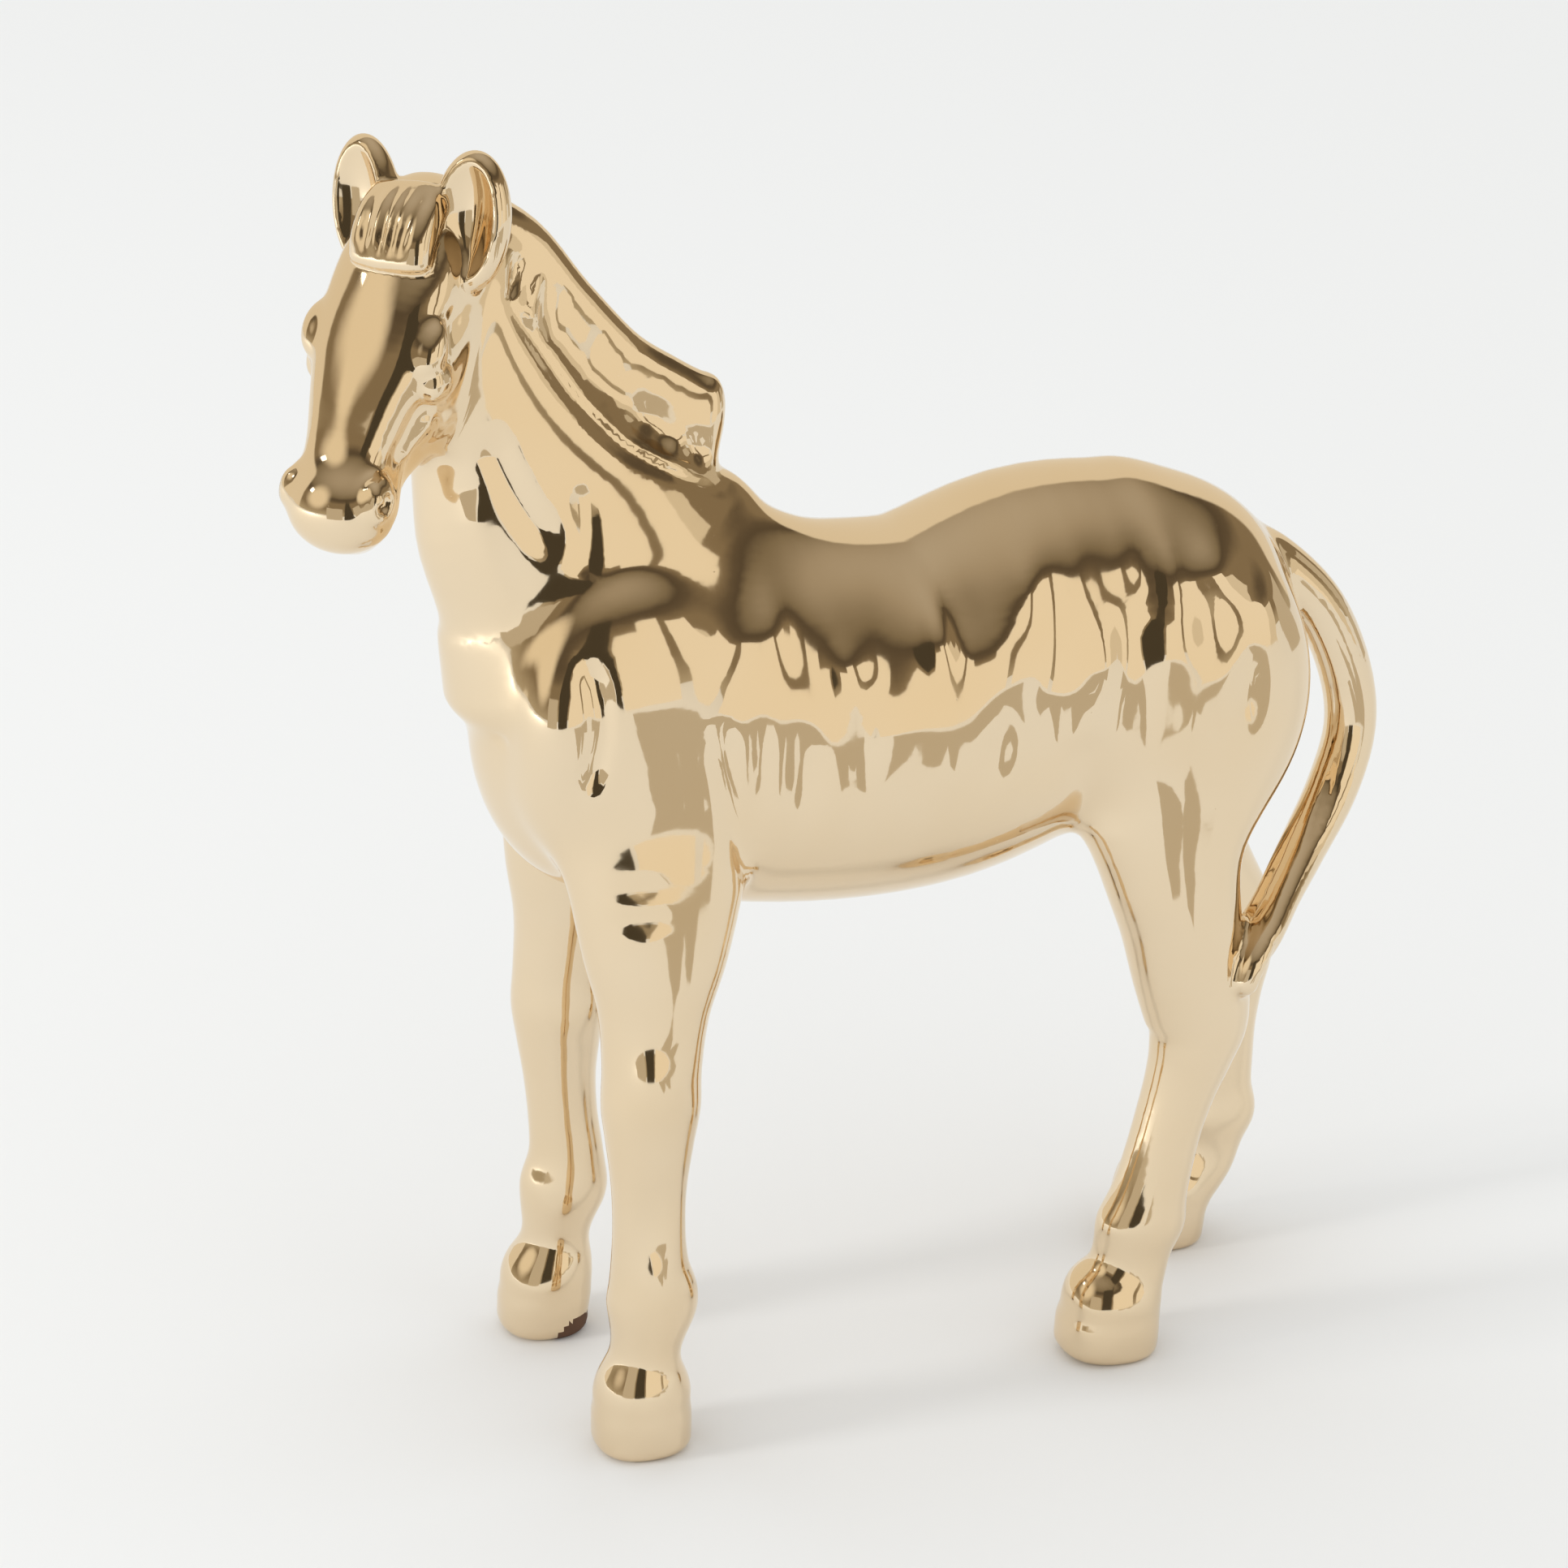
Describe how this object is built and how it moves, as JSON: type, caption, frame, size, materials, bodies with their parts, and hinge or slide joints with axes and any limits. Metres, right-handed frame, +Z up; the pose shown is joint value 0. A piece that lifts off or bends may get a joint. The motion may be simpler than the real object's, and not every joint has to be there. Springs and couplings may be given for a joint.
{
  "type": "horse figurine",
  "caption": "Standing foal figurine with its head turned, upright mane and looped tail, in glazed ceramic; stands on its hooves as a shelf or table ornament.",
  "frame": {"origin": "on the ground between the four hooves, at the middle of the bounding box's base", "axes": "+Z up; the foal faces -X, its left side faces -Y and its tail is at +X"},
  "size_m": [0.2542, 0.0806, 0.29],
  "materials": {
    "lustre_glaze": "mirror-bright pale gold lustre glaze over ceramic"
  },
  "bodies": {
    "root": {"horse": "lustre_glaze"}
  },
  "joints": []
}
